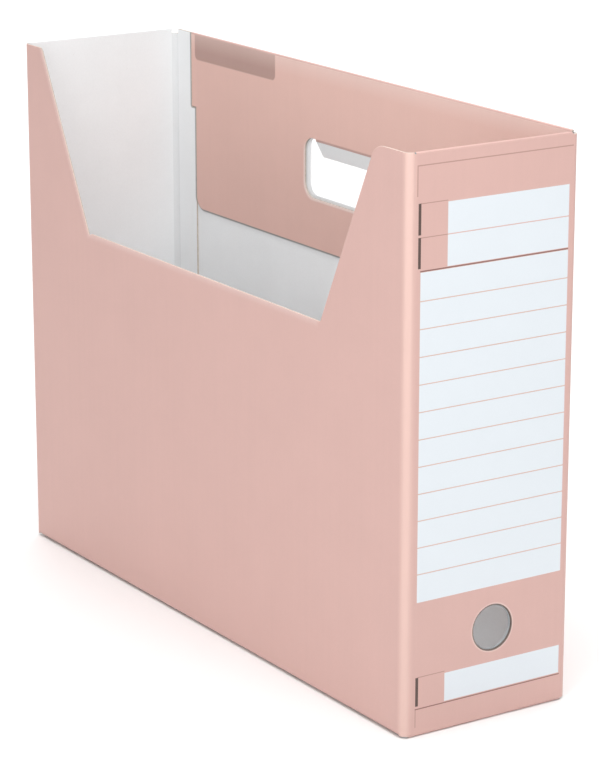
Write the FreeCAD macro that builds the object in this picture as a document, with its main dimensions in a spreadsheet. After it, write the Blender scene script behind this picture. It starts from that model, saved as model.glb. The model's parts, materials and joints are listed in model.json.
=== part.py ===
import FreeCAD, Part
import os
import Sketcher
from FreeCAD import Placement, Rotation, Vector

# File box folded from paperboard, standing on its base.
# +X points to the spine with the printed label, -Y to the cut-down side wall,
# +Y to the full-height side wall with the hand hole, and Z up from the table.
# Every panel of the board is a piece of its own, and so is every crease between two panels.

sizes = {
    # Outside of the standing box.
    "boxLength": 382.0,
    "boxWidth": 102.0,
    "boxHeight": 296.0,
    # Board, its bends and the clearances between boards.
    "boardThickness": 0.8,
    "cornerBend": 2.7,
    "foldGap": 0.1,
    "layerClearance": 0.3,
    "seamGap": 0.5,
    # Cut-out of the near wall; tops and feet are measured from the nearer end of the box.
    "notchHeight": 198.3,
    "notchRearTop": 20.5,
    "notchRearFoot": 71.6,
    "notchFrontTop": 27.8,
    "notchFrontFoot": 75.0,
    "notchRearRadius": 2.8,
    "notchFrontRadius": 11.0,
    # Backing panel turned over the top of the far wall; starts are measured from the rear.
    "backingStart": 18.8,
    "backingLowerStart": 23.6,
    "backingStepDepth": 43.5,
    "backingDepth": 103.9,
    "backingCornerRadius": 7.0,
    "backingFrontGap": 4.5,
    # Hand hole in the backing panel, and the lips that the wall behind it shows round it.
    "handHoleWidth": 101.8,
    "handHoleHeight": 33.8,
    "handHoleDrop": 41.9,
    "handHoleTopRadius": 7.5,
    "handHoleFootRadius": 9.0,
    "wallHoleTopRadius": 4.5,
    "wallHoleFootRadius": 7.5,
    "holeSideLip": 4.4,
    "holeFootLip": 2.0,
    # Grip flap that hangs from the top of the wall's hole, swung outward.
    "gripDepth": 10.2,
    "gripSideGap": 4.8,
    "gripTaper": 1.0,
    "gripCrease": 0.8,
    "gripAngle": 25.0,
    # Glued seam at the rear corner.
    "seamRelief": 2.5,
    "glueFlapFoot": 4.0,
    "glueFlapBevel": 8.0,
    # Liner of the spine, and the finger hole through both layers.
    "linerSideGap": 1.0,
    "linerFoot": 4.0,
    "cornerGap": 1.2,
    "fingerHoleDiameter": 23.5,
    "fingerHoleHeight": 48.5,
    "fingerHoleOffset": 3.2,
    "fingerHoleLip": 0.5,
    # Floor: two long flaps that meet along a stepped line, over two end flaps.
    "longFlapReach": 52.0,
    "flapSeam": 1.2,
    "endFlapReach": 46.0,
    "stiffReach": 28.0,
    "stiffSlope": 0.48,
    "tabWidth": 14.0,
    "tabTip": 12.0,
    "tabFoot": 4.0,
}

doc = FreeCAD.newDocument("FileBox")
dims = doc.addObject("Spreadsheet::Sheet", "dims")
for row, (alias, value) in enumerate(sizes.items(), start=1):
    dims.set(f"A{row}", alias)
    dims.set(f"B{row}", str(value))
    dims.setAlias(f"B{row}", alias)
doc.recompute()

# Places that several pieces share, as expressions of the driving sizes.
board = "dims.boardThickness"
halfLength = "(dims.boxLength / 2)"
halfWidth = "(dims.boxWidth / 2)"
top = "dims.boxHeight"
# A bottom crease leaves room for the spine's liner between the folded flap and its wall.
baseBend = "((dims.boardThickness + dims.foldGap + dims.layerClearance) / 2)"
baseOuter = f"({baseBend} + {board})"
cornerOuter = f"(dims.cornerBend + {board})"
# Turned-over top edges: two boards with the fold gap between them.
rollBend = "(dims.foldGap / 2)"
rollOuter = f"({rollBend} + {board})"
rollAxis = f"({top} - {rollOuter})"
# The long flaps lie over the end flaps; each flap's hinge axis is the centre of its crease.
longLevel = f"({board} + dims.layerClearance)"
longAxis = f"({longLevel} + {baseOuter})"
endAxis = baseOuter
longHinge = f"({halfWidth} - {baseOuter})"
endHinge = f"({halfLength} - {baseOuter})"
# Upright hinge axes, inside the four corners.
pivotX = f"({halfLength} - {cornerOuter})"
pivotY = f"({halfWidth} - {cornerOuter})"


def number(expression):
    """Value of an expression of the driving sizes."""
    value = dims.evalExpression(expression)
    return float(getattr(value, "Value", value))


def newBody(label, base, turn):
    """Empty piece whose own frame stands at base, turned by turn."""
    body = doc.addObject("PartDesign::Body", label)
    body.Label = label
    body.Placement = Placement(Vector(0, 0, 0), turn)
    for axis, expression in zip("xyz", base):
        body.setExpression(f"Placement.Base.{axis}", expression)
    return body


def newSketch(body, plane, lift="0 mm"):
    """Sketch parallel to one of the piece's own origin planes, lifted along its normal."""
    sketch = body.newObject("Sketcher::SketchObject", f"{body.Label}_outline")
    origin = {feature.Role: feature for feature in body.Origin.OriginFeatures}
    sketch.AttachmentSupport = [(origin[f"{plane}_Plane"], "")]
    sketch.MapMode = "FlatFace"
    sketch.setExpression("AttachmentOffset.Base.z", lift)
    return sketch


def holdPoint(sketch, geometry, end, spot):
    """Holds one point of a sketched line or circle at a spot given by two expressions."""
    for kind, expression in zip(("DistanceX", "DistanceY"), spot):
        held = Sketcher.Constraint(kind, -1, 1, geometry, end, number(expression))
        sketch.setExpression(f"Constraints[{sketch.addConstraint(held)}]", expression)


def drawLoop(sketch, corners):
    """Closed outline of straight lines through corners."""
    points = [Vector(number(x), number(y), 0) for x, y in corners]
    first = sketch.GeometryCount
    for start, end in zip(points, points[1:] + points[:1]):
        sketch.addGeometry(Part.LineSegment(start, end), False)
    for index, corner in enumerate(corners):
        line = first + index
        following = first + (index + 1) % len(corners)
        sketch.addConstraint(Sketcher.Constraint("Coincident", line, 2, following, 1))
        holdPoint(sketch, line, 1, corner)


def drawCircle(sketch, centre, diameter):
    """Circle held by its centre and its diameter."""
    middle = Vector(number(centre[0]), number(centre[1]), 0)
    circle = Part.Circle(middle, Vector(0, 0, 1), number(diameter) / 2)
    index = sketch.addGeometry(circle, False)
    holdPoint(sketch, index, 3, centre)
    held = Sketcher.Constraint("Diameter", index, number(diameter))
    sketch.setExpression(f"Constraints[{sketch.addConstraint(held)}]", diameter)


def rectangle(left, right, foot, head):
    """Corners of an upright rectangle."""
    return [(left, foot), (right, foot), (right, head), (left, head)]


noTurn = Rotation()
halfTurn = Rotation(Vector(0, 0, 1), 180)
quarterTurn = Rotation(Vector(0, 0, 1), 90)
quarterBack = Rotation(Vector(0, 0, 1), -90)


def frameTurn(x, y):
    """Turn that lays a piece's own X and Y along two given directions."""
    xAxis = Vector(*x)
    yAxis = Vector(*y)
    return Rotation(xAxis, yAxis, xAxis.cross(yAxis), "XYZ")


def plate(label, plane, base, loops, circles=(), lift="0 mm", turn=noTurn):
    """Flat panel, one board thick, with its outline and openings drawn on one plane."""
    body = newBody(label, base, turn)
    sketch = newSketch(body, plane, lift)
    for loop in loops:
        drawLoop(sketch, loop)
    for centre, diameter in circles:
        drawCircle(sketch, centre, diameter)
    pad = body.newObject("PartDesign::Pad", f"{label}_board")
    pad.Profile = sketch
    pad.setExpression("Length", board)
    sketch.Visibility = False
    doc.recompute()
    return body


def roundCorners(body, corners, radius):
    """Rounds the edges that cross an upright side panel at some corners of its outline."""
    spots = [Vector(number(x), 0, number(z)) for x, z in corners]
    names = []
    for index, edge in enumerate(body.Tip.Shape.Edges, start=1):
        ends = [Vector(vertex.X, 0, vertex.Z) for vertex in edge.Vertexes]
        if any(max(end.distanceToPoint(spot) for end in ends) < 1e-4 for spot in spots):
            names.append(f"Edge{index}")
    rounding = body.newObject("PartDesign::Fillet", f"{body.Label}_corners")
    rounding.Base = (rounding.BaseFeature or body.Tip, names)
    rounding.setExpression("Radius", radius)
    doc.recompute()


def turnStrip(body, sketch, axis, angle):
    """Turns a sketched strip of board about one of its sketch's axes."""
    strip = body.newObject("PartDesign::Revolution", f"{body.Label}_turn")
    strip.Profile = sketch
    strip.ReferenceAxis = (sketch, [axis])
    strip.setExpression("Angle", angle)
    sketch.Visibility = False
    doc.recompute()


def crease(label, bendRadius, length, angle, base, turn=noTurn):
    """Curved strip of board about its own Z axis, from its +X towards its +Y."""
    body = newBody(label, base, turn)
    sketch = newSketch(body, "XZ")
    drawLoop(sketch, rectangle(bendRadius, f"{bendRadius} + {board}", "0 mm", length))
    turnStrip(body, sketch, "V_Axis", angle)


# Hand hole: the wall's own hole is a little smaller than the backing panel's.
holeTop = f"({top} - dims.handHoleDrop)"
holeFoot = f"({holeTop} - dims.handHoleHeight)"
holeSide = "(dims.handHoleWidth / 2)"
wallHoleSide = f"({holeSide} - dims.holeSideLip)"
wallHoleFoot = f"({holeFoot} + dims.holeFootLip)"
handHole = rectangle(f"-{holeSide}", holeSide, holeFoot, holeTop)
wallHole = rectangle(f"-{wallHoleSide}", wallHoleSide, wallHoleFoot, holeTop)

# Rear edge of the backing panel, which reaches further back above the step than below it.
backingEdge = f"(dims.backingStart - {halfLength})"
backingLowerEdge = f"(dims.backingLowerStart - {halfLength})"
backingStep = f"({top} - dims.backingStepDepth)"

# Far wall: full height at the rear corner, one fold lower where the backing turns over it.
farOutline = [
    (f"-{pivotX}", longAxis),
    (pivotX, longAxis),
    (pivotX, rollAxis),
    (backingEdge, rollAxis),
    (backingEdge, top),
    (f"-{pivotX}", top),
]
farWall = plate("far_wall", "XZ", ("0 mm", halfWidth, "0 mm"), [farOutline, wallHole])
roundCorners(farWall, wallHole[:2], "dims.wallHoleFootRadius")
roundCorners(farWall, wallHole[2:], "dims.wallHoleTopRadius")

# Backing panel on the far wall's inner face; its top edge turns over the wall.
backingFoot = f"({top} - dims.backingDepth)"
backingEnd = f"({halfLength} - dims.backingFrontGap)"
backingOutline = [
    (backingLowerEdge, backingFoot),
    (backingEnd, backingFoot),
    (backingEnd, rollAxis),
    (backingEdge, rollAxis),
    (backingEdge, backingStep),
    (backingLowerEdge, backingStep),
]
backingBase = ("0 mm", f"{halfWidth} - {rollOuter}", "0 mm")
backing = plate("handle_backing_panel", "XZ", backingBase, [backingOutline, handHole], lift=rollBend)
roundCorners(backing, handHole[:2], "dims.handHoleFootRadius")
roundCorners(backing, handHole[2:], "dims.handHoleTopRadius")
roundCorners(backing, backingOutline[:2], "dims.backingCornerRadius")
backingFold = newSketch(backing, "XY", rollAxis)
drawLoop(backingFold, rectangle(backingEdge, backingEnd, rollBend, rollOuter))
turnStrip(backing, backingFold, "H_Axis", "180")

# Glue flap of the rear panel, bonded to the far wall beside the backing panel.
glueEdge = f"({backingEdge} - dims.seamGap)"
glueLowerEdge = f"({backingLowerEdge} - dims.seamGap)"
glueStep = f"({backingStep} - dims.seamGap)"
glueOutline = [
    (f"-{pivotX}", "dims.glueFlapFoot"),
    (f"{glueLowerEdge} - dims.glueFlapBevel", "dims.glueFlapFoot"),
    (glueLowerEdge, "dims.glueFlapFoot + dims.glueFlapBevel"),
    (glueLowerEdge, glueStep),
    (glueEdge, glueStep),
    (glueEdge, top),
    (f"-{pivotX}", top),
]
plate("rear_glue_flap", "XZ", ("0 mm", f"{halfWidth} - {board}", "0 mm"), [glueOutline])

# Grip flap: its own frame hangs on the hinge line in the middle of the far wall's board.
gripHinge = f"({holeTop} - dims.gripCrease)"
gripMiddle = f"({halfWidth} - {board} / 2)"
gripSide = f"({wallHoleSide} - dims.gripSideGap)"
gripTipSide = f"({gripSide} - dims.gripTaper)"
gripTip = "-(dims.gripCrease + dims.gripDepth)"
gripOutline = [
    (f"-{gripTipSide}", gripTip),
    (gripTipSide, gripTip),
    (gripSide, "-dims.gripCrease"),
    (f"-{gripSide}", "-dims.gripCrease"),
]
plate("grip_flap", "XZ", ("0 mm", gripMiddle, gripHinge), [gripOutline], lift=f"-{board} / 2",
      turn=Rotation(Vector(1, 0, 0), number("dims.gripAngle")))
gripBend = f"(dims.gripCrease / tan(dims.gripAngle * 0.5 deg) - {board} / 2)"
crease("grip_flap_crease", gripBend, f"2 * {gripSide}", "dims.gripAngle",
       (f"-{gripSide}", f"{gripMiddle} + {gripBend} + {board} / 2", holeTop),
       frameTurn((0, -1, 0), (0, 0, -1)))

# Spine: outer panel, and a liner that turns over its top and reaches down to the floor.
fingerHole = ("dims.fingerHoleOffset", "dims.fingerHoleHeight")
spineOutline = rectangle(f"-{pivotY}", pivotY, endAxis, rollAxis)
spineBase = (f"{halfLength} - {board}", "0 mm", "0 mm")
plate("spine_outer_panel", "YZ", spineBase, [spineOutline], [(fingerHole, "dims.fingerHoleDiameter")])
linerSide = f"({pivotY} - dims.linerSideGap)"
linerOutline = rectangle(f"-{linerSide}", linerSide, "dims.linerFoot", rollAxis)
linerHole = (fingerHole, "dims.fingerHoleDiameter - 2 * dims.fingerHoleLip")
linerBase = (f"{halfLength} - {rollOuter}", "0 mm", "0 mm")
liner = plate("spine_liner", "YZ", linerBase, [linerOutline], [linerHole], lift=f"-{rollOuter}")
linerFold = newSketch(liner, "XY", rollAxis)
drawLoop(linerFold, rectangle(f"-{rollOuter}", f"-{rollBend}", f"-{linerSide}", linerSide))
turnStrip(liner, linerFold, "V_Axis", "180")

# Near wall with its cut-out for reaching the papers.
notchRearTop = (f"dims.notchRearTop - {halfLength}", top)
notchFrontTop = (f"{halfLength} - dims.notchFrontTop", top)
nearOutline = [
    (f"-{pivotX}", longAxis),
    (pivotX, longAxis),
    (pivotX, top),
    notchFrontTop,
    (f"{halfLength} - dims.notchFrontFoot", "dims.notchHeight"),
    (f"dims.notchRearFoot - {halfLength}", "dims.notchHeight"),
    notchRearTop,
    (f"-{pivotX}", top),
]
nearWall = plate("near_wall", "XZ", ("0 mm", f"{board} - {halfWidth}", "0 mm"), [nearOutline])
roundCorners(nearWall, [notchFrontTop], "dims.notchFrontRadius")
roundCorners(nearWall, [notchRearTop], "dims.notchRearRadius")

# Rear panel: one board short at its far edge, where the glue flap turns inside the wall.
seamY = f"({pivotY} - {board})"
rearOutline = rectangle(f"-{pivotY}", seamY, endAxis, top)
plate("rear_panel", "YZ", (f"-{halfLength}", "0 mm", "0 mm"), [rearOutline])

# Upright creases at the four corners.
uprightLength = f"({top} - {longLevel})"
crease("far_spine_crease", "dims.cornerBend", f"{uprightLength} - dims.cornerGap", "90",
       (pivotX, pivotY, longLevel))
crease("near_spine_crease", "dims.cornerBend", uprightLength, "90",
       (pivotX, f"-{pivotY}", longLevel), quarterBack)
crease("near_rear_crease", "dims.cornerBend", uprightLength, "90",
       (f"-{pivotX}", f"-{pivotY}", longLevel), halfTurn)
crease("rear_glue_crease", "dims.cornerBend", f"{uprightLength} - dims.seamRelief", "90",
       (f"-{pivotX}", seamY, longLevel), quarterTurn)

# Creases between the walls and the floor flaps.
crease("far_floor_crease", baseBend, f"2 * {pivotX}", "90",
       (pivotX, longHinge, longAxis), frameTurn((0, 1, 0), (0, 0, -1)))
crease("near_floor_crease", baseBend, f"2 * {pivotX}", "90",
       (f"-{pivotX}", f"-{longHinge}", longAxis), frameTurn((0, -1, 0), (0, 0, -1)))
crease("spine_floor_crease", baseBend, f"2 * {pivotY}", "90",
       (endHinge, f"-{pivotY}", endAxis), frameTurn((1, 0, 0), (0, 0, -1)))
crease("rear_floor_crease", baseBend, f"{pivotY} + {seamY}", "90",
       (f"-{endHinge}", seamY, endAxis), frameTurn((-1, 0, 0), (0, 0, -1)))

# Long floor flaps: slanted at the corner that closes when the box folds flat, and deep as far
# as the middle. Each near piece of the floor is the far one turned half round.
flapStart = f"({pivotX} - dims.seamGap)"
deepLine = f"({longHinge} - dims.longFlapReach)"
shallowLine = f"(dims.flapSeam - {deepLine})"
longOutline = [
    (flapStart, longHinge),
    (f"{flapStart} - dims.longFlapReach", deepLine),
    ("dims.flapSeam / 2", deepLine),
    ("dims.flapSeam / 2", shallowLine),
    (f"dims.seamGap - {pivotX}", shallowLine),
    (f"dims.seamGap - {pivotX}", longHinge),
]
longBase = ("0 mm", "0 mm", longLevel)
plate("far_floor_flap", "XY", longBase, [longOutline])
plate("near_floor_flap", "XY", longBase, [longOutline], turn=halfTurn)


def underSlant(along, inward):
    """Spot under a long flap, measured from the start of its slanted end."""
    return (f"{flapStart} - ({along})", f"{longHinge} - ({inward})")


# Glue tabs, bonded under the long flaps along their slanted ends.
tabOutline = [
    underSlant("dims.tabTip", "dims.tabTip"),
    underSlant("dims.endFlapReach", "dims.endFlapReach"),
    underSlant("dims.endFlapReach + dims.tabWidth", "dims.endFlapReach - dims.tabWidth"),
    underSlant("dims.tabFoot + 2 * dims.tabWidth", "dims.tabFoot"),
    underSlant("dims.tabTip", "dims.tabFoot"),
]
tabBase = ("0 mm", "0 mm", f"{longLevel} - {board}")
plate("far_flap_glue_tab", "XY", tabBase, [tabOutline])
plate("near_flap_glue_tab", "XY", tabBase, [tabOutline], turn=halfTurn)

# End flaps: a stiff part along the crease, and a gusset that gives way as the box folds.
stiffFar = f"({pivotY} - dims.seamGap)"
stiffNear = f"(dims.flapSeam - {pivotY})"
stiffTip = f"({endHinge} - dims.stiffReach)"
stiffOutline = [
    (endHinge, stiffFar),
    (stiffTip, f"{stiffFar} - dims.stiffReach / dims.stiffSlope"),
    (stiffTip, f"{stiffNear} + dims.stiffReach"),
    (endHinge, stiffNear),
]
gussetTip = f"({endHinge} - dims.endFlapReach)"
gussetOutline = [
    stiffOutline[0],
    (f"{pivotX} - {longHinge} + {stiffFar}", stiffFar),
    (gussetTip, f"{longHinge} - {pivotX} + {gussetTip}"),
    (gussetTip, f"{stiffNear} + dims.endFlapReach"),
    stiffOutline[2],
    stiffOutline[1],
]
endBase = ("0 mm", "0 mm", "0 mm")
plate("spine_floor_flap", "XY", endBase, [stiffOutline])
plate("rear_floor_flap", "XY", endBase, [stiffOutline], turn=halfTurn)
plate("spine_flap_gusset", "XY", endBase, [gussetOutline])
plate("rear_flap_gusset", "XY", endBase, [gussetOutline], turn=halfTurn)

doc.recompute()
for item in doc.Objects:
    if "Invalid" in item.State or "Error" in item.State:
        raise RuntimeError(f"{item.Name} did not build: {item.State}")

os.makedirs("parts", exist_ok=True)
for body in doc.findObjects("PartDesign::Body"):
    shape = body.Shape
    if shape.isNull() or not shape.isValid() or len(shape.Solids) != 1:
        raise RuntimeError(f"{body.Label} is not one sound solid")
    shape.exportStep(f"parts/{body.Label}.step")
    box = shape.BoundBox
    print(f"{body.Label:22s} {shape.Volume:10.1f} mm3  "
          f"x {box.XMin:7.2f} {box.XMax:7.2f}  y {box.YMin:6.2f} {box.YMax:6.2f}  "
          f"z {box.ZMin:6.2f} {box.ZMax:6.2f}")
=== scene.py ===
import json
import math

import bmesh
import bpy
from mathutils import Matrix, Vector
from mathutils.bvhtree import BVHTree


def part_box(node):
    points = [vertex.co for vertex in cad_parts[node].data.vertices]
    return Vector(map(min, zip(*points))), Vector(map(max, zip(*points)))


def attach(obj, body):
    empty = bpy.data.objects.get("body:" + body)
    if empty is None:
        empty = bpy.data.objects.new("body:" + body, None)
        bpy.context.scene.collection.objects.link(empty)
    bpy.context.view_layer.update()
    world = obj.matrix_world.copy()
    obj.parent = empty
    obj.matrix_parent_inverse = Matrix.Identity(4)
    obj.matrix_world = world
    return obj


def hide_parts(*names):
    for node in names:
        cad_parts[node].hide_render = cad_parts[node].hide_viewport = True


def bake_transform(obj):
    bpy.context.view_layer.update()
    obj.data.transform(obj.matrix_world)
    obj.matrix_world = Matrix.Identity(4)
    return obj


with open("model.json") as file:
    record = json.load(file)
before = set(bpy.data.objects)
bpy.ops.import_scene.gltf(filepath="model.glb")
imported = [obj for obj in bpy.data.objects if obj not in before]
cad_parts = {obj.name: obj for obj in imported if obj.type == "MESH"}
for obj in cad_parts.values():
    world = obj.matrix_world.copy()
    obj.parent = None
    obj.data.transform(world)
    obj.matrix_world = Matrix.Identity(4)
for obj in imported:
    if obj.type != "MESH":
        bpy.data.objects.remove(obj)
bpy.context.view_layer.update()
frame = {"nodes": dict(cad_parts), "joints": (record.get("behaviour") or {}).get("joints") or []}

joints = {joint["name"]: joint for joint in frame["joints"]}
print("frame loaded:", len(frame["nodes"]), "board pieces")


def mm(value):
    return value / 1000


# The corners' hinge lines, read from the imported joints.
pivotX, pivotY = joints["fold_flat"]["pos_m"][:2]


# Paperboard of about 640 grams a square metre, printed on one side.
board = {
    "thickness": mm(0.8),
    "pressedEdge": mm(0.22),  # a cutting rule presses the board's edges round
    "softEdge": mm(0.4),  # on the backing, where hands go
    "edgeSteps": 3,
    "sharpAngle": math.radians(40),
    "creaseSteps": 30,  # in a quarter turn
    "halfBend": 45.0,  # the rear crease is made in two halves
}

colours = {
    "outsidePrint": "#D1ABA3",
    # painted light: the same pink print drawn lighter where it faces the inside of the box
    "insidePrintLightened": "#E1B9AE",
    "creasePrint": "#E0BDB3",  # painted highlight along the near wall and spine corner, partly print stretched over the crease
    # painted highlight on the pressed edges' printed side, partly print stretched over them
    "pressedPrint": "#E6C8BD",
    # painted highlight along the notch, round the holes and along the backing's top fold
    "paintedHighlightPrint": "#FBEFEA",
    "boardBack": "#F2F4F5",
    # painted shade: the liner's back, seen only through the finger hole, is drawn grey
    "linerShadeBack": "#AEB2B5",
    # painted shade: the board's back drawn greyer on the inside of every crease
    "creaseInsideShade": "#E2E4E5",
    "backFleck": "#C4C0BA",
    "cutCore": "#CDC1B6",
    "cutShade": "#B5A89C",
    # painted shade on the finger hole's cut edge
    "fingerHoleShadeCore": "#75675F",
    "fingerShade": "#5B4D45",
    # painted shadow along the backing's seam and inside the hand hole
    "seamShade": "#54453F",
    "writingWhite": "#DCE2E7",
    "fineLine": "#B48F85",
    "rule": "#CFAD9F",
    "foldLine": "#8C665D",
    "indexBar": "#584640",
    # darker tone in the backing's top rear corner
    "darkPatchTone": "#4A302A",
    "floor": "#FAFAFA",
    "floorShade": "#F6F6F6",
}


def linear(name):
    channels = [int(colours[name][i:i + 2], 16) / 255 for i in (1, 3, 5)]
    return [c / 12.92 if c < 0.04045 else ((c + 0.055) / 1.055) ** 2.4 for c in channels] + [1]


def addNode(tree, kind, inputs, **settings):
    node = tree.nodes.new(kind)
    for name, value in settings.items():
        setattr(node, name, value)
    for key, source in inputs.items():
        socket = node.inputs[key] if isinstance(key, int) else next(
            entry for entry in node.inputs if entry.name == key and entry.enabled)
        if isinstance(source, bpy.types.Node):
            source = next(entry for entry in source.outputs if entry.enabled)
        if isinstance(source, bpy.types.NodeSocket):
            tree.links.new(source, socket)
        else:
            socket.default_value = source
    return node


# What the eye gets from board: cloudy stock, fibres, the mill's long streaks and a slow wave.
stock = {
    "cloud": mm(34),
    "fibre": mm(0.9),  # real fibres are a tenth of this: drawn as coarse as the picture can show
    "streak": (mm(3), mm(3), mm(170)),
    "wave": mm(48),
    "fibreDepth": mm(0.010),
    "waveDepth": mm(0.20),
}


# Offset print under a matt varnish: its roughness, and the shares of cloud, fibre and streak.
varnish = {"roughness": 0.52, "grain": (0.014, 0.010, 0.007)}


def startBoardPaper(name, roughness, depth):
    material = bpy.data.materials.new(name)
    material.use_nodes = True
    tree = material.node_tree
    shader = tree.nodes["Principled BSDF"]
    place = addNode(tree, "ShaderNodeTexCoord", {}).outputs["Object"]
    shader.inputs["Roughness"].default_value = roughness
    shader.inputs["IOR"].default_value = 1.47
    wave = addNode(tree, "ShaderNodeTexNoise", {
        "Vector": place, "Scale": 1 / stock["wave"], "Detail": 1.0})
    fibre = addNode(tree, "ShaderNodeTexNoise", {
        "Vector": place, "Scale": 1 / stock["fibre"], "Detail": 3.0})
    slow = addNode(tree, "ShaderNodeBump", {
        "Height": wave, "Strength": 1.0, "Distance": stock["waveDepth"] * depth})
    fine = addNode(tree, "ShaderNodeBump", {
        "Height": fibre, "Strength": 1.0, "Distance": stock["fibreDepth"] * depth, "Normal": slow})
    tree.links.new(fine.outputs["Normal"], shader.inputs["Normal"])
    return material, tree, shader, place


def tintPaper(tree, place, ink, clouding, fibring, streaking):
    # each grain lightens and darkens the ink by its share
    turned = addNode(tree, "ShaderNodeMapping", {
        "Vector": place, "Scale": [1 / length for length in stock["streak"]]})
    tone = 1.0
    for where, scale, share in ((place, 1 / stock["cloud"], clouding),
                                (place, 1 / stock["fibre"], fibring), (turned, 1.0, streaking)):
        grain = addNode(tree, "ShaderNodeTexNoise", {
            "Vector": where, "Scale": scale, "Detail": 3.0, "Roughness": 0.6})
        swing = addNode(tree, "ShaderNodeMapRange", {
            "Value": grain, "From Min": 0.3, "From Max": 0.7, "To Min": 1 - share, "To Max": 1 + share})
        tone = addNode(tree, "ShaderNodeMath", {0: swing, 1: tone}, operation="MULTIPLY")
    return addNode(tree, "ShaderNodeVectorMath", {0: linear(ink)[:3], 3: tone}, operation="SCALE")


def offsetPrint(name, ink):
    # Offset print under a matt varnish: even and soft, with the board's clouds showing through
    material, tree, shader, place = startBoardPaper(name, varnish["roughness"], 1.0)
    tint = tintPaper(tree, place, ink, *varnish["grain"])
    tree.links.new(tint.outputs["Vector"], shader.inputs["Base Color"])
    return material


def uncoatedBack(name, ink="boardBack"):
    # The board's uncoated back: dull grey-white, mottled, with a stray fibre here and there
    material, tree, shader, place = startBoardPaper(name, 0.8, 1.5)
    tint = tintPaper(tree, place, ink, 0.014, 0.016, 0.003)
    stray = addNode(tree, "ShaderNodeTexNoise", {
        "Vector": place, "Scale": 1 / mm(2.2), "Detail": 6.0, "Roughness": 0.72})
    fleck = addNode(tree, "ShaderNodeMapRange", {
        "Value": stray, "From Min": 0.66, "From Max": 0.74, "To Min": 0.0, "To Max": 0.35})
    blend = addNode(tree, "ShaderNodeMix", {
        "Factor": fleck, "A": tint.outputs["Vector"], "B": linear("backFleck")}, data_type="RGBA")
    tree.links.new(blend.outputs[2], shader.inputs["Base Color"])
    return material, tree, shader, place, blend.outputs[2]


def cornerPrint(tree, place):
    # the outside print with a painted highlight along the corner between the near wall and the spine,
    # partly print stretched over the crease
    tint = tintPaper(tree, place, "outsidePrint", *varnish["grain"])
    around = addNode(tree, "ShaderNodeVectorMath", {0: place, 1: (pivotX, -pivotY, 0)},
                     operation="SUBTRACT")
    across = addNode(tree, "ShaderNodeVectorMath", {
        0: around, 1: (math.sqrt(0.5), math.sqrt(0.5), 0)}, operation="DOT_PRODUCT")
    away = addNode(tree, "ShaderNodeMath", {0: across.outputs["Value"]}, operation="ABSOLUTE")
    # painted highlight along the corner
    wearAndHighlight = addNode(tree, "ShaderNodeMapRange", {
        "Value": away, "From Min": mm(0.8), "From Max": mm(4.4), "To Min": 1.0, "To Max": 0.0},
        interpolation_type="SMOOTHSTEP")
    return addNode(tree, "ShaderNodeMix", {
        "Factor": wearAndHighlight, "A": tint.outputs["Vector"], "B": linear("creasePrint")},
        data_type="RGBA").outputs[2]


def creasedOffsetPrint():
    # The same print on a crease, soft and a little glossier where hands have rubbed it, with the
    # painted highlight along the near wall and spine corner
    material, tree, shader, place = startBoardPaper("creasedOffsetPrint", 0.48, 0.8)
    tree.links.new(cornerPrint(tree, place), shader.inputs["Base Color"])
    return material


def roundedReach(tree, place, edges, corner):
    # distance out from a rounded rectangle standing in the X and Z directions, in metres
    left, right, foot, head = edges
    centre = ((left + right) / 2, 0, (foot + head) / 2)
    inner = ((right - left) / 2 - corner, 0, (head - foot) / 2 - corner)
    around = addNode(tree, "ShaderNodeVectorMath", {0: place, 1: centre}, operation="SUBTRACT")
    reach = addNode(tree, "ShaderNodeVectorMath", {0: around}, operation="ABSOLUTE")
    past = addNode(tree, "ShaderNodeVectorMath", {0: reach, 1: inner}, operation="SUBTRACT")
    over = addNode(tree, "ShaderNodeVectorMath", {0: past, 1: (0, 0, 0)}, operation="MAXIMUM")
    flat = addNode(tree, "ShaderNodeVectorMath", {0: over, 1: (1, 0, 1)}, operation="MULTIPLY")
    long = addNode(tree, "ShaderNodeVectorMath", {0: flat}, operation="LENGTH").outputs["Value"]
    return addNode(tree, "ShaderNodeMath", {0: long, 1: corner}, operation="SUBTRACT")


# The painted shadow line on the far wall's back, in millimetres: how far it reaches out from the
# backing's edges and into the hand hole, and the step in the backing's rear edge that it follows.
seamShadowLine = {"from": 0.8, "to": 1.7, "depth": 0.66, "corner": 7.0, "step": (4.8, 60.4), "gap": 0.5,
            "holeFrom": 0.2, "holeTo": 2.6, "holeDepth": 0.22}


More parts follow.
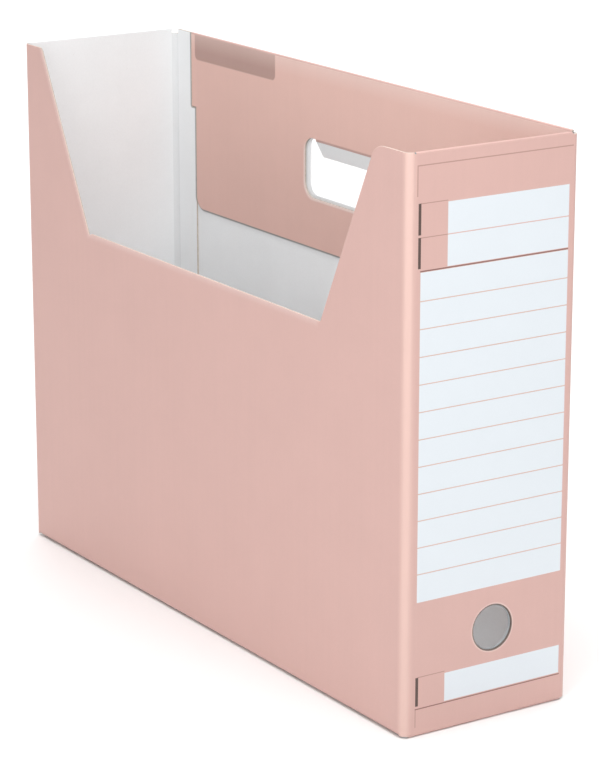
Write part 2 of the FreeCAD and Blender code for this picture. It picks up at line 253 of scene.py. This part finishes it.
def farWallBack():
    # The same back with painted shadow: a dark line along the glued backing's edges, and painted shade
    # inside the rim of its hole
    material, tree, shader, place, back = uncoatedBack("farWallBackPaintedShade")
    foot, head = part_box("handle_backing_panel")
    across, rise = (mm(length) for length in seamShadowLine["step"])
    left, above = foot.x - mm(seamShadowLine["gap"]), head.z + mm(20)
    lower = roundedReach(tree, place, (left + across, head.x, foot.z, above), mm(seamShadowLine["corner"]))
    upper = roundedReach(tree, place, (left, head.x, foot.z + rise, above), mm(0.5))
    away = addNode(tree, "ShaderNodeMath", {0: lower, 1: upper}, operation="MINIMUM")
    # painted shadow along the backing's edges
    seamShadow = addNode(tree, "ShaderNodeMapRange", {
        "Value": away, "From Min": mm(seamShadowLine["from"]), "From Max": mm(seamShadowLine["to"]),
        "To Min": seamShadowLine["depth"], "To Max": 0.0}, interpolation_type="SMOOTHSTEP")
    within = roundedReach(tree, place, [mm(edge) for edge in handHole["edges"]],
                          mm(handHole["corner"]))
    # painted shade inside the hand hole's rim
    holeRimShade = addNode(tree, "ShaderNodeMapRange", {
        "Value": within, "From Min": -mm(seamShadowLine["holeTo"]), "From Max": -mm(seamShadowLine["holeFrom"]),
        "To Min": 0.0, "To Max": seamShadowLine["holeDepth"]}, interpolation_type="SMOOTHSTEP")
    inHole = addNode(tree, "ShaderNodeMath", {0: within, 1: 0.0}, operation="LESS_THAN")
    shade = addNode(tree, "ShaderNodeMix", {"Factor": inHole, "A": seamShadow, "B": holeRimShade})
    blend = addNode(tree, "ShaderNodeMix", {
        "Factor": shade, "A": back, "B": linear("seamShade")}, data_type="RGBA")
    tree.links.new(blend.outputs[2], shader.inputs["Base Color"])
    return material


def cutCore(name, core, shade):
    # Cut board: the grey-brown felted core between the two faces, rubbed darker in places
    material, tree, shader, place = startBoardPaper(name, 0.85, 2.0)
    felt = addNode(tree, "ShaderNodeTexNoise", {
        "Vector": place, "Scale": 1 / mm(2.5), "Detail": 5.0, "Roughness": 0.7})
    wearAndHighlight = addNode(tree, "ShaderNodeMapRange", {"Value": felt, "From Min": 0.42, "From Max": 0.75})
    blend = addNode(tree, "ShaderNodeMix", {
        "Factor": wearAndHighlight, "A": linear(core), "B": linear(shade)}, data_type="RGBA")
    tree.links.new(blend.outputs[2], shader.inputs["Base Color"])
    return material


# The near wall's cut edge from the rear to the front: x and height of its ends in millimetres,
# and the band of painted highlight along it. The front part has no band.
notchEdge = {"rear": ((-170.5, 296.0), (-119.4, 198.3)), "foot": ((-119.4, 198.3), (116.0, 198.3)),
             "front": ((116.0, 198.3), (163.2, 296.0)), "band": 4.2, "highlightShare": 0.22,
             "overcut": (3.5, 1.1)}  # length along the foot and depth


def notchedOffsetPrint():
    # The same print with a painted highlight along the notch's edge
    material, tree, shader, place = startBoardPaper("notchedOffsetPrint", varnish["roughness"], 1.0)
    tint = cornerPrint(tree, place)
    away = -1.0
    for part, kept in (("rear", 0.0), ("foot", 0.0), ("front", notchEdge["band"])):
        start, end = (Vector((mm(x), 0, mm(z))) for x, z in notchEdge[part])
        outward = (end - start).normalized().cross(Vector((0, 1, 0)))
        if outward.z > 0:
            outward = -outward
        past = addNode(tree, "ShaderNodeVectorMath", {0: place, 1: outward}, operation="DOT_PRODUCT")
        gap = addNode(tree, "ShaderNodeMath", {
            0: past.outputs["Value"], 1: start.dot(outward) - mm(kept)}, operation="SUBTRACT")
        away = addNode(tree, "ShaderNodeMath", {0: gap, 1: away}, operation="MAXIMUM")
    # painted highlight along the notch's edge
    highlightShare = addNode(tree, "ShaderNodeMapRange", {
        "Value": away, "From Min": 0.0, "From Max": mm(notchEdge["band"]),
        "To Min": notchEdge["highlightShare"], "To Max": 0.0}, interpolation_type="SMOOTHSTEP")
    blend = addNode(tree, "ShaderNodeMix", {
        "Factor": highlightShare, "A": tint, "B": linear("paintedHighlightPrint")}, data_type="RGBA")
    tree.links.new(blend.outputs[2], shader.inputs["Base Color"])
    return material


# The spine's print, in millimetres: left and right from the near wall's face, foot and head.
spinePrint = {
    "writingWhite": [
        (23.4, 96.4, 254.6, 270.3), (23.4, 96.4, 238.6, 254.1),
        (7.6, 96.5, 70.6, 237.4), (25.0, 96.9, 15.3, 30.3)],
    "fineLine": [
        (5.2, 98.4, 289.1, 289.7), (5.2, 5.8, 274.5, 289.7), (7.4, 23.4, 270.7, 271.2),
        (7.4, 23.4, 254.1, 254.6),
        (8.6, 25.0, 31.0, 31.5), (7.1, 7.6, 4.8, 14.6)],
    "foldLine": [(7.4, 96.4, 237.6, 238.3), (7.1, 97.4, 14.2, 14.8)],
    "indexBar": [(6.1, 7.7, 255.7, 271.1), (6.1, 7.7, 239.3, 254.5), (7.3, 9.0, 16.0, 31.2)],
    "rules": {"span": (7.6, 96.5, 80.0, 228.0), "first": 85.2, "pitch": 13.8, "width": 0.5},
}

# Painted shade darkens the finger hole's cut edge and a thin ring of print round it; a painted
# highlight makes the print paler round both holes.
fingerHole = {"centre": Vector((mm(3.2), mm(48.5))), "dark": mm(12.4), "rimHighlight": mm(13.4), "highlightShare": 0.32}
# painted highlight round the hand hole's rim: its reach, share and fade towards its head
handHole = {"edges": (-50.9, 50.9, 220.3, 254.1), "corner": 8.0, "rim": (0.7, 1.9), "highlightShare": 0.5,
            "headFade": (246.0, 252.0)}  # in millimetres


def spineOffsetPrint():
    # The same print with white writing boxes, fine rules and dark index bars
    material, tree, shader, place = startBoardPaper("spineOffsetPrint", varnish["roughness"], 1.0)
    axes = addNode(tree, "ShaderNodeSeparateXYZ", {"Vector": place})
    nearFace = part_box("near_wall")[0].y

    def stamped(frames):
        inside = 0.0
        for left, right, foot, head in frames:
            wide = addNode(tree, "ShaderNodeMath", {
                0: axes.outputs["Y"], 1: nearFace + mm(left + right) / 2,
                2: mm(right - left) / 2}, operation="COMPARE")
            tall = addNode(tree, "ShaderNodeMath", {
                0: axes.outputs["Z"], 1: mm(foot + head) / 2,
                2: mm(head - foot) / 2}, operation="COMPARE")
            both = addNode(tree, "ShaderNodeMath", {0: wide, 1: tall}, operation="MULTIPLY")
            inside = addNode(tree, "ShaderNodeMath", {0: both, 1: inside}, operation="MAXIMUM")
        return inside

    middle = (0, *fingerHole["centre"])
    around = addNode(tree, "ShaderNodeVectorMath", {0: place, 1: middle}, operation="SUBTRACT")
    flat = addNode(tree, "ShaderNodeVectorMath", {0: around, 1: (0, 1, 1)}, operation="MULTIPLY")
    reach = addNode(tree, "ShaderNodeVectorMath", {0: flat}, operation="LENGTH")
    # painted highlight round the finger hole's rim
    rimHighlight = addNode(tree, "ShaderNodeMapRange", {
        "Value": reach.outputs["Value"], "From Min": fingerHole["dark"],
        "From Max": fingerHole["rimHighlight"], "To Min": fingerHole["highlightShare"], "To Max": 0.0})
    # painted shade in a thin ring round the finger hole
    fingerHoleShade = addNode(tree, "ShaderNodeMath", {
        0: reach.outputs["Value"], 1: fingerHole["dark"]}, operation="LESS_THAN")
    rules = spinePrint["rules"]
    rise = addNode(tree, "ShaderNodeMath", {
        0: axes.outputs["Z"], 1: mm(rules["first"])}, operation="SUBTRACT")
    nearest = addNode(tree, "ShaderNodeMath", {
        0: rise, 1: mm(rules["pitch"]) / 2}, operation="PINGPONG")
    onRule = addNode(tree, "ShaderNodeMath", {
        0: nearest, 1: 0.0, 2: mm(rules["width"]) / 2}, operation="COMPARE")
    ruled = addNode(tree, "ShaderNodeMath", {
        0: onRule, 1: stamped([rules["span"]])}, operation="MULTIPLY")
    printed = cornerPrint(tree, place)
    white = tintPaper(tree, place, "writingWhite", 0.004, 0.006, 0.0).outputs["Vector"]
    for mask, ink in ((stamped(spinePrint["writingWhite"]), white), (ruled, linear("rule")),
                      (stamped(spinePrint["fineLine"]), linear("fineLine")),
                      (stamped(spinePrint["foldLine"]), linear("foldLine")),
                      (stamped(spinePrint["indexBar"]), linear("indexBar")),
                      (rimHighlight, linear("paintedHighlightPrint")), (fingerHoleShade, linear("fingerHoleShadeCore"))):
        printed = addNode(tree, "ShaderNodeMix", {
            "Factor": mask, "A": printed, "B": ink}, data_type="RGBA").outputs[2]
    tree.links.new(printed, shader.inputs["Base Color"])
    return material


# A darker tone lies in the backing's top rear corner, in millimetres from the rear face and up.
darkPatch = {"rear": 22.6, "front": 109.5, "foot": 280.6, "head": 305.0, "round": 3.2,
             "soft": 0.5, "depth": 0.43, "fade": (286.0, 296.0), "faded": 0.62, "foldHighlightShare": 0.24}


def backingOffsetPrint():
    # The print on the turned-over boards, drawn lighter as painted light, with the darker tone that
    # fades towards the top fold, and painted highlights along the fold and round the hand hole
    material, tree, shader, place = startBoardPaper("backingOffsetPrint", varnish["roughness"], 1.2)
    # painted light: the same pink print drawn lighter where it faces the inside of the box
    tint = tintPaper(tree, place, "insidePrintLightened", 0.014, 0.010, 0.006)
    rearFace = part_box("rear_panel")[0].x
    edges = (rearFace + mm(darkPatch["rear"]), rearFace + mm(darkPatch["front"]),
             mm(darkPatch["foot"]), mm(darkPatch["head"]))
    gap = roundedReach(tree, place, edges, mm(darkPatch["round"]))
    patch = addNode(tree, "ShaderNodeMapRange", {
        "Value": gap, "From Min": -mm(darkPatch["soft"]), "From Max": mm(darkPatch["soft"]),
        "To Min": darkPatch["depth"], "To Max": 0.0}, interpolation_type="SMOOTHSTEP")
    axes = addNode(tree, "ShaderNodeSeparateXYZ", {"Vector": place})
    fade = addNode(tree, "ShaderNodeMapRange", {
        "Value": axes.outputs["Z"], "From Min": mm(darkPatch["fade"][0]),
        "From Max": mm(darkPatch["fade"][1]), "To Min": 1.0, "To Max": darkPatch["faded"]})
    shade = addNode(tree, "ShaderNodeMath", {0: patch, 1: fade}, operation="MULTIPLY")
    # painted highlight along the top fold
    foldHighlight = addNode(tree, "ShaderNodeMapRange", {
        "Value": axes.outputs["Z"], "From Min": mm(darkPatch["fade"][0]),
        "From Max": mm(darkPatch["fade"][1]), "To Min": 0.0, "To Max": darkPatch["foldHighlightShare"]})
    # painted highlight round the hand hole's rim, fading towards its head
    rim = addNode(tree, "ShaderNodeMapRange", {
        "Value": roundedReach(tree, place, [mm(edge) for edge in handHole["edges"]],
                              mm(handHole["corner"])),
        "From Min": mm(handHole["rim"][0]), "From Max": mm(handHole["rim"][1]),
        "To Min": handHole["highlightShare"], "To Max": 0.0}, interpolation_type="SMOOTHSTEP")
    below = addNode(tree, "ShaderNodeMapRange", {
        "Value": axes.outputs["Z"], "From Min": mm(handHole["headFade"][0]),
        "From Max": mm(handHole["headFade"][1]), "To Min": 1.0, "To Max": 0.0})
    rimHighlight = addNode(tree, "ShaderNodeMath", {0: rim, 1: below}, operation="MULTIPLY")
    printed = tint.outputs["Vector"]
    for mask, ink in ((foldHighlight, "paintedHighlightPrint"), (shade, "darkPatchTone"), (rimHighlight, "paintedHighlightPrint")):
        printed = addNode(tree, "ShaderNodeMix", {
            "Factor": mask, "A": printed, "B": linear(ink)}, data_type="RGBA").outputs[2]
    tree.links.new(printed, shader.inputs["Base Color"])
    return material


outsidePrint = offsetPrint("outsideOffsetPrint", "outsidePrint")
notchedPrint = notchedOffsetPrint()
creasePrint = creasedOffsetPrint()
backingPrint = backingOffsetPrint()
spineFacePrint = spineOffsetPrint()
greyBack = uncoatedBack("uncoatedBoardBack")[0]
# painted shade: the board's back drawn greyer on the inside of every crease
creaseInsideShade = uncoatedBack("creaseInsideShadedBack", "creaseInsideShade")[0]
# painted shade: the liner's back, seen only through the finger hole, is drawn grey
linerShadeBack = uncoatedBack("shadedLinerBack", "linerShadeBack")[0]
farBack = farWallBack()
boardCore = cutCore("cutBoardCore", "cutCore", "cutShade")
fingerHoleShadeCore = cutCore("fingerHoleShadedCore", "fingerHoleShadeCore", "fingerShade")
# painted highlight on the pressed edges' printed side, partly print stretched over them
pressedPrint = offsetPrint("pressedOffsetPrint", "pressedPrint")
print("board finishes made:", len(bpy.data.materials))

cadShapes = {name: BVHTree.FromPolygons([point.co for point in solid.data.vertices],
                                        [side.vertices for side in solid.data.polygons])
             for name, solid in frame["nodes"].items()}


def pressCutEdges(mesh, node, width, outward=None, joined=None):
    # edges that touch another piece are folds, where the board runs on, and stay as they are;
    # so do those in the plane where a piece's two strips are joined
    others = [shape for name, shape in cadShapes.items() if name != node]
    cut = []
    for edge in mesh.edges:
        if len(edge.link_faces) == 2 and edge.calc_face_angle() > board["sharpAngle"]:
            middle = (edge.verts[0].co + edge.verts[1].co) / 2
            if joined and abs((middle - joined[0]).dot(joined[1])) < mm(0.03):
                continue
            if all(shape.find_nearest(middle, mm(0.03))[0] is None for shape in others):
                cut.append(edge)
    pressed = bmesh.ops.bevel(
        mesh, geom=cut, offset=width, offset_type="OFFSET", affect="EDGES",
        segments=board["edgeSteps"], profile=0.5, material=-1, clamp_overlap=True)
    for side in pressed["faces"]:
        side.material_index = 3 if outward and side.normal.dot(outward) > 0.4 else 2


def finishPiece(mesh, name, materials):
    data = bpy.data.meshes.new(name)
    mesh.to_mesh(data)
    mesh.free()
    piece = bpy.data.objects.new(name, data)
    bpy.context.scene.collection.objects.link(piece)
    for material in materials:
        data.materials.append(material)
    return piece


def dressBoard(node, body, outward, face, roll=None, back=None, core=None,
               pressed=board["pressedEdge"], shape=None):
    # printed outwards, plain behind, pale where it is cut; roll is a turned-over edge's axis
    mesh = bmesh.new()
    mesh.from_mesh(frame["nodes"][node].data)
    bmesh.ops.remove_doubles(mesh, verts=mesh.verts, dist=1e-6)
    bmesh.ops.dissolve_limit(mesh, angle_limit=math.radians(1), verts=mesh.verts, edges=mesh.edges)
    if shape:
        shape(mesh)
    outward = Vector(outward)
    for side in mesh.faces:
        turn = side.normal.dot(outward)
        side.material_index = 0 if turn > 0.5 else 1 if turn < -0.5 else 2
        if roll and abs(side.normal.dot(roll["along"])) < 0.5:
            away = side.calc_center_median() - roll["axis"]
            if away.z > 0:
                away -= away.project(roll["along"])
                side.material_index = 4 if away.dot(side.normal) > 0 else 1
    pressCutEdges(mesh, node, pressed, outward)
    materials = [face, back or greyBack, core or boardCore, pressedPrint]
    piece = finishPiece(mesh, node + "_board", materials + [outsidePrint] if roll else materials)
    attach(piece, body)
    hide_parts(node)
    return piece


def bendStrip(node, name, hinge, along, start, length, bend, angle=90.0, turn=0.0, face=None):
    # a curved strip about a hinge line, right-handed about along from the direction start;
    # turn starts it later, so that two strips can share one crease
    axis = Vector(along).normalized()
    first = Matrix.Rotation(math.radians(turn), 3, axis) @ Vector(start).normalized()
    mesh = bmesh.new()
    outer = bend + board["thickness"]
    corners = [Vector(hinge) + first * radius + axis * reach
               for radius, reach in ((bend, 0), (outer, 0), (outer, length), (bend, length))]
    section = mesh.faces.new([mesh.verts.new(corner) for corner in corners])
    bmesh.ops.spin(
        mesh, geom=[section, *section.edges, *section.verts], cent=Vector(hinge), axis=axis,
        angle=math.radians(angle), steps=max(2, round(board["creaseSteps"] * angle / 90)),
        use_merge=False, use_duplicate=False)
    bmesh.ops.remove_doubles(mesh, verts=mesh.verts, dist=1e-7)
    bmesh.ops.recalc_face_normals(mesh, faces=mesh.faces)
    for side in mesh.faces:
        away = side.calc_center_median() - Vector(hinge)
        away -= away.project(axis)
        outwards = side.normal.dot(away.normalized())
        side.material_index = 0 if outwards > 0.7 else 1 if outwards < -0.7 else 2
        side.smooth = abs(outwards) > 0.7
    outward = Vector(start) + axis.cross(Vector(start))
    halved = angle == board["halfBend"]
    joined = (Vector(hinge), axis.cross(outward).normalized()) if halved else None
    pressCutEdges(mesh, node, board["pressedEdge"], outward, joined)
    return finishPiece(mesh, name, (face or outsidePrint, creaseInsideShade, boardCore, pressedPrint))


def bendBetween(strip, node):
    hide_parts(node)
    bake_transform(strip)


def overcutNotch(mesh):
    # the slanted cut runs a little past the notch's foot at its rear corner
    x, z = (mm(length) for length in notchEdge["foot"][0])
    bmesh.ops.bisect_plane(mesh, geom=[*mesh.verts, *mesh.edges, *mesh.faces], plane_no=(1, 0, 0),
                           plane_co=(x + mm(notchEdge["overcut"][0]), 0, 0))
    corner = [point for point in mesh.verts if (point.co.xz - Vector((x, z))).length < mm(0.2)]
    bmesh.ops.translate(mesh, verts=corner, vec=(mm(0.2), 0, -mm(notchEdge["overcut"][1])))


def shadeFingerHoleEdge(piece):
    # painted shade: the cut edge of the spine's outer board round the finger hole is drawn dark
    piece.data.materials.append(fingerHoleShadeCore)
    for side in piece.data.polygons:
        away = (side.center.yz - fingerHole["centre"]).length
        if side.material_index in (2, 3) and away < fingerHole["dark"]:
            side.material_index = len(piece.data.materials) - 1


def uprightBend(node, x, y, start, angle=90.0, turn=0.0, name=None):
    foot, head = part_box(node)
    return bendStrip(node, name or node + "_bend", (x, y, foot.z), (0, 0, 1), start,
                     head.z - foot.z, cornerBend, angle, turn, creasePrint)


# Faces, folds and turned-over edges of the box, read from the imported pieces.
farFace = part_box("far_wall")[1].y
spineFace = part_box("spine_outer_panel")[1].x
cornerBend = spineFace - pivotX - board["thickness"]
backingFoot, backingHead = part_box("handle_backing_panel")
roll = (backingHead.y - backingFoot.y) / 2
farRoll = {"axis": Vector((0, farFace - roll, backingHead.z - roll)), "along": Vector((1, 0, 0))}
spineRoll = {"axis": Vector((spineFace - roll, 0, backingHead.z - roll)), "along": Vector((0, 1, 0))}

dressBoard("far_wall", "far_side", (0, 1, 0), outsidePrint, back=farBack, core=greyBack)
dressBoard("handle_backing_panel", "far_side", (0, -1, 0), backingPrint, roll=farRoll,
           pressed=board["softEdge"])
dressBoard("rear_glue_flap", "far_side", (0, 1, 0), outsidePrint, back=farBack)
shadeFingerHoleEdge(dressBoard("spine_outer_panel", "spine_side", (1, 0, 0), spineFacePrint))
dressBoard("spine_liner", "spine_side", (-1, 0, 0), backingPrint, roll=spineRoll, back=linerShadeBack,
           core=linerShadeBack)
dressBoard("near_wall", "near_side", (0, -1, 0), notchedPrint, shape=overcutNotch)
dressBoard("rear_panel", "rear_side", (-1, 0, 0), outsidePrint, core=greyBack)
dressBoard("grip_flap", "grip", (0, 0.906, 0.423), outsidePrint)
for side in ("far", "near"):
    dressBoard(side + "_floor_flap", side + "_floor", (0, 0, -1), outsidePrint)
    dressBoard(side + "_flap_glue_tab", side + "_floor", (0, 0, -1), outsidePrint)
for side in ("spine", "rear"):
    dressBoard(side + "_floor_flap", side + "_floor", (0, 0, -1), outsidePrint)
    dressBoard(side + "_flap_gusset", side + "_floor", (0, 0, -1), outsidePrint)
print("panels dressed")

# Three corners are drawn as curved strips between the walls on each side of them.
for node, x, y, parent, child, start, end in (
        ("far_spine_crease", pivotX, pivotY, "spine_side", "far_side", (1, 0, 0), (0, 1, 0)),
        ("near_spine_crease", pivotX, -pivotY, "near_side", "spine_side", (0, -1, 0), (1, 0, 0)),
        ("near_rear_crease", -pivotX, -pivotY, "rear_side", "near_side", (-1, 0, 0), (0, -1, 0))):
    centre, outer = Vector((x, y, 0)), cornerBend + board["thickness"]
    bendBetween(uprightBend(node, x, y, start), node)

# The rear seam's crease belongs to no joint, so each side keeps its half of the strip.
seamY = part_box("rear_glue_crease")[0].y
for half, body, turn in (("flap", "far_side", 0.0), ("panel", "rear_side", board["halfBend"])):
    strip = uprightBend("rear_glue_crease", -pivotX, seamY, (0, 1, 0), board["halfBend"], turn,
                        "rear_glue_crease_" + half)
    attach(strip, body)
    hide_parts("rear_glue_crease")

# The floor flaps' creases: joint, direction of the hinge, first and last direction of the bend.
floorFolds = {
    "far_floor_crease": ("far_floor_fold", (1, 0, 0), (0, 0, -1), (0, 1, 0)),
    "near_floor_crease": ("near_floor_fold", (1, 0, 0), (0, -1, 0), (0, 0, -1)),
    "spine_floor_crease": ("spine_floor_fold", (0, 1, 0), (1, 0, 0), (0, 0, -1)),
    "rear_floor_crease": ("rear_floor_fold", (0, 1, 0), (0, 0, -1), (-1, 0, 0)),
}
for node, (joint, along, start, end) in floorFolds.items():
    low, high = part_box(node)
    axis = Vector(along)
    hinge = Vector(joints[joint]["pos_m"])
    hinge += axis * (low - hinge).dot(axis)
    outer = hinge.z - low.z
    strip = bendStrip(node, node + "_bend", hinge, along, start, (high - low).dot(axis),
                      outer - board["thickness"])
    bendBetween(strip, node)

# The grip flap's crease turns the wall outwards at the top of the hand hole; reach is how far
# its bend runs from the fold along the middle of the board.
gripFold = {"angle": 25.0, "reach": mm(0.8)}
low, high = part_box("grip_flap_crease")
neutral = gripFold["reach"] / math.tan(math.radians(gripFold["angle"]) / 2)
gripBend = neutral - board["thickness"] / 2
gripStrip = bendStrip("grip_flap_crease", "grip_flap_crease_bend",
                      (low.x, farFace - board["thickness"] / 2 + neutral, high.z), (1, 0, 0),
                      (0, -1, 0), high.x - low.x, gripBend, gripFold["angle"])
bendBetween(gripStrip, "grip_flap_crease")
print("creases bent")

# Plain pale floor, soft lamps and the camera.
studio = {"floorWidth": 9.0, "sky": 0.62, "exposure": 0.0}

floorMesh = bmesh.new()
bmesh.ops.create_grid(floorMesh, x_segments=1, y_segments=1, size=studio["floorWidth"] / 2)
bmesh.ops.translate(floorMesh, verts=floorMesh.verts, vec=(0, 0, -mm(0.2)))
floorPaint = bpy.data.materials.new("matStudioPaint")  # matt, and without any sheen
floorPaint.use_nodes = True
floorShader = floorPaint.node_tree.nodes["Principled BSDF"]
floorPlace = addNode(floorPaint.node_tree, "ShaderNodeTexCoord", {}).outputs["Object"]
floorCloud = addNode(floorPaint.node_tree, "ShaderNodeTexNoise", {
    "Vector": floorPlace, "Scale": 2.5, "Detail": 2.0})
floorBlend = addNode(floorPaint.node_tree, "ShaderNodeMix", {
    "Factor": floorCloud, "A": linear("floor"), "B": linear("floorShade")}, data_type="RGBA")
floorPaint.node_tree.links.new(floorBlend.outputs[2], floorShader.inputs["Base Color"])
floorShader.inputs["Roughness"].default_value = 0.95
floorShader.inputs["Specular IOR Level"].default_value = 0.1
finishPiece(floorMesh, "studioFloor", [floorPaint])

world = bpy.data.worlds.new("softStudio")
bpy.context.scene.world = world
world.use_nodes = True
world.node_tree.nodes["Background"].inputs["Color"].default_value = (1.0, 1.0, 1.0, 1)
world.node_tree.nodes["Background"].inputs["Strength"].default_value = studio["sky"]

lamps = {
    "overhead": {"at": (0.0, 0.0, 1.9), "aim": (0.0, 0.0, 0.2), "wide": 1.6, "watts": 7.5},
    "inside": {"at": (0.35, -0.35, 1.5), "aim": (0.0, 0.0, 0.2), "wide": 0.5, "watts": 5.2},
    "leftLow": {"at": (-1.6, -0.9, 0.8), "aim": (0.1, 0.0, 0.25), "wide": 0.5, "watts": 0.6},
    "lowFront": {"at": (0.9, -1.9, 0.6), "aim": (0.0, 0.0, 0.15), "wide": 1.0, "watts": 1.4},
    "nearRight": {"at": (0.45, -0.6, 0.45), "aim": (0.15, -0.05, 0.2), "wide": 0.3, "watts": 0.85},
    "spineTop": {"at": (0.62, -0.06, 0.66), "aim": (0.19, 0.0, 0.25), "wide": 0.2, "watts": 0.9},
    "spineFill": {"at": (1.6, 0.1, 0.7), "aim": (0.19, 0.0, 0.15), "wide": 0.6, "watts": 1.0},
    "backdrop": {"at": (-2.2, 1.6, 2.4), "aim": (-2.4, 1.7, 0.0), "wide": 3.0, "watts": 60.0},
}
for name, lamp in lamps.items():
    light = bpy.data.lights.new(name, "AREA")
    light.size = lamp["wide"]
    light.energy = lamp["watts"]
    holder = bpy.data.objects.new(name, light)
    bpy.context.scene.collection.objects.link(holder)
    holder.location = lamp["at"]
    holder.rotation_euler = (Vector(lamp["aim"]) - holder.location).to_track_quat("-Z", "Y").to_euler()
    holder.visible_camera = False

# The photograph's view, worked out from the box's corners in it.
view = {"at": (1.3090, -0.8418, 0.5712), "heading": -56.86, "down": 15.86, "lens": 138.2}
heading, down = math.radians(view["heading"]), math.radians(view["down"])
sight = Vector((math.sin(heading) * math.cos(down), math.cos(heading) * math.cos(down),
                -math.sin(down)))
cameraData = bpy.data.cameras.new("photographView")
cameraData.lens = view["lens"]
cameraData.sensor_width = 36.0
cameraData.clip_start, cameraData.clip_end = 0.05, 20.0
camera = bpy.data.objects.new("photographView", cameraData)
bpy.context.scene.collection.objects.link(camera)
camera.location = view["at"]
camera.rotation_euler = sight.to_track_quat("-Z", "Y").to_euler()
bpy.context.scene.camera = camera
bpy.context.scene.view_settings.view_transform = "Standard"
bpy.context.scene.view_settings.exposure = studio["exposure"]
print("studio set")
